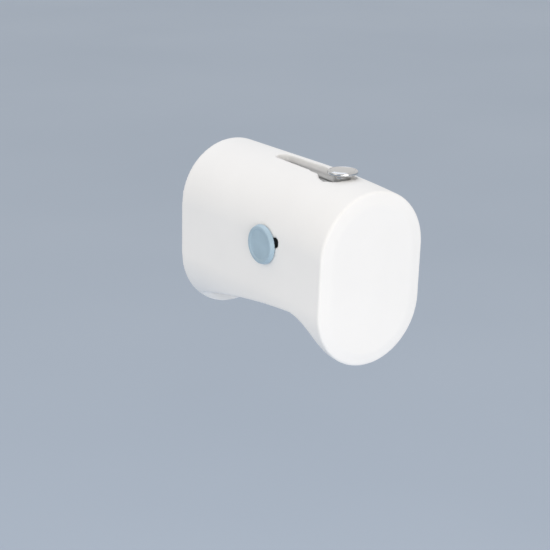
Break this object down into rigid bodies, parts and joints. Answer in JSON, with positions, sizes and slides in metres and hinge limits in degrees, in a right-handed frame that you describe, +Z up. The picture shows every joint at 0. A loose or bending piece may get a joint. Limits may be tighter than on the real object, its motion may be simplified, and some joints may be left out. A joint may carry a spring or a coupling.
{
  "type": "covered bath spout",
  "caption": "Wall-mounted bath spout with a lift-knob diverter, wearing a soft safety cover held by a sliding strap.",
  "frame": {"origin": "centre of the threaded inlet, in the plane of the wall", "axes": "+Z up, +Y into the wall (the spout points to -Y), +X to the right as seen from the room facing the wall"},
  "size_m": [0.0848, 0.1501, 0.1176],
  "materials": {
    "soft_cover": "matte soft-touch",
    "blue_button": "satin",
    "dark_strap": "matte",
    "chrome": "polished",
    "brass": "machined",
    "black_rubber": "matte",
    "foam_rubber": "open-cell foam",
    "grey_plastic": "moulded",
    "white_plastic": "moulded",
    "steel": "machined"
  },
  "bodies": {
    "fixed_spout": {"cover_shell": "soft_cover", "spout_body": "chrome", "wall_gasket": "foam_rubber", "inlet_bushing": "brass", "inlet_retainer": "brass", "inlet_washer": "black_rubber", "waterway_tube": "grey_plastic", "tube_o_ring_rear": "black_rubber", "tube_o_ring_front": "black_rubber", "diverter_seat": "white_plastic", "stem_bushing": "brass", "stem_o_ring": "black_rubber", "outlet_collar": "grey_plastic", "flow_straightener": "white_plastic"},
    "diverter": {"gate_carrier": "grey_plastic", "gate_seal": "black_rubber", "gate_pin": "steel", "diverter_stem": "steel", "diverter_knob": "chrome", "knob_set_screw": "steel"},
    "strap": {"tension_strap": "dark_strap", "strap_button_left": "blue_button", "strap_button_right": "blue_button"}
  },
  "joints": [
    {"name": "diverter_lift", "type": "slide", "parent": "fixed_spout", "child": "diverter", "axis": [0, 0, 1], "range_m": [0, 0.0105]},
    {"name": "strap_adjust", "type": "slide", "parent": "fixed_spout", "child": "strap", "axis": [0, -0.9563, 0.2924], "range_m": [-0.012, 0.012]}
  ]
}
